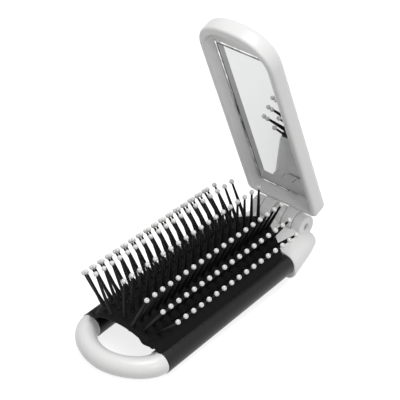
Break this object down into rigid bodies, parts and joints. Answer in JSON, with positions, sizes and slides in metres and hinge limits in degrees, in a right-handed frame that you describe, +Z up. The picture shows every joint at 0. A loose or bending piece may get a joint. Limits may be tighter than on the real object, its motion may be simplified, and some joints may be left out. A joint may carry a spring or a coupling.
{
  "type": "folding hairbrush with mirror",
  "caption": "Pocket hairbrush with a tubular hanging loop, black bristle pad with ball-tipped pins, and a hinged tray lid that holds a mirror.",
  "frame": {"origin": "on the table, straight below the hinge axis, in the middle of the brush", "axes": "+X across the brush, +Y from the hanging loop towards the hinge end, +Z up from the table, on which the brush lies with its pins up"},
  "size_m": [0.0472, 0.1145, 0.1117],
  "materials": {
    "white_plastic": "satin moulded plastic",
    "black_rubber": "smooth satin rubber",
    "black_nylon": "moulded nylon, slightly glossy",
    "white_nylon": "moulded nylon, slightly glossy",
    "steel_pin": "drawn steel",
    "foam_tape": "thin foam tape",
    "mirror": "back-silvered glass with a fine bevel"
  },
  "bodies": {
    "brush": {"loop_frame": "white_plastic", "left_sleeve": "black_rubber", "right_sleeve": "black_rubber", "hinge_block": "white_plastic", "bristle_pad": "black_rubber", "pins_middle": "black_nylon", "pins_left_inner": "black_nylon", "pins_right_inner": "black_nylon", "pins_left_outer": "black_nylon", "pins_right_outer": "black_nylon", "pins_left_edge": "black_nylon", "pins_right_edge": "black_nylon", "tips_middle": "white_nylon", "tips_left_inner": "white_nylon", "tips_right_inner": "white_nylon", "tips_left_outer": "white_nylon", "tips_right_outer": "white_nylon", "tips_left_edge": "white_nylon", "tips_right_edge": "white_nylon"},
    "pin": {"hinge_pin": "steel_pin"},
    "lid": {"lid_shell": "white_plastic", "mirror_tape": "foam_tape", "mirror_glass": "mirror"}
  },
  "joints": [
    {"name": "lid_closing", "type": "hinge", "parent": "brush", "child": "pin", "pos_m": [0, 0, 0.0122], "axis": [-1, 0, 0], "range_deg": [-68.8, 0], "deforming": ["pins_middle", "pins_left_inner", "pins_right_inner", "pins_left_outer", "pins_right_outer", "pins_left_edge", "pins_right_edge", "tips_middle", "tips_left_inner", "tips_right_inner", "tips_left_outer", "tips_right_outer", "tips_left_edge", "tips_right_edge"]},
    {"name": "lid_opening", "type": "hinge", "parent": "pin", "child": "lid", "pos_m": [0, 0, 0.0122], "axis": [-1, 0, 0], "range_deg": [0, 111.2]}
  ]
}
